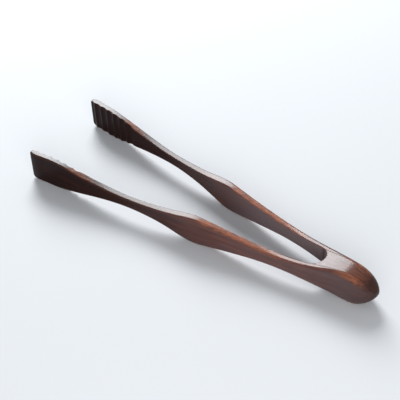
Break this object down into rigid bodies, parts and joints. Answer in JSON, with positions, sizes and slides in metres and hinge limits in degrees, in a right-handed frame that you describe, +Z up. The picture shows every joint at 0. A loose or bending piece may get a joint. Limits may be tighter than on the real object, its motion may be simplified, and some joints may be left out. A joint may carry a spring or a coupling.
{
  "type": "ice tongs",
  "caption": "Springy wooden tongs for lifting ice cubes: splayed arms glued to a wedge-shaped head, swelling to finger pads and ending in grooved square tips.",
  "frame": {"origin": "centre of the tongs' plan, at table height", "axes": "+X towards the rounded head, tips towards -X; +Y across, from the front arm to the rear arm; +Z up, the arms' broad faces standing upright"},
  "size_m": [0.24, 0.063, 0.0218],
  "materials": {
    "wedge_wood": "dark reddish-brown stained wood under satin lacquer",
    "arm_wood": "dark reddish-brown stained wood under satin lacquer, grain along the arm"
  },
  "bodies": {
    "head": {"head_wedge": "wedge_wood", "front_arm_root": "arm_wood", "rear_arm_root": "arm_wood"},
    "front_arm": {"front_arm": "arm_wood"},
    "rear_arm": {"rear_arm": "arm_wood"}
  },
  "joints": [
    {"name": "front_arm_squeeze", "type": "hinge", "parent": "head", "child": "front_arm", "pos_m": [0.056, -0.01143, 0.0114], "axis": [0, 0, -1], "range_deg": [0, 8.9], "stiffness_Nm_per_rad": 7},
    {"name": "rear_arm_squeeze", "type": "hinge", "parent": "head", "child": "rear_arm", "pos_m": [0.056, 0.01143, 0.0114], "axis": [0, 0, 1], "range_deg": [0, 8.9], "stiffness_Nm_per_rad": 7}
  ],
  "couplings": [
    {"joint": "rear_arm_squeeze", "follows": "front_arm_squeeze", "ratio": 1}
  ]
}
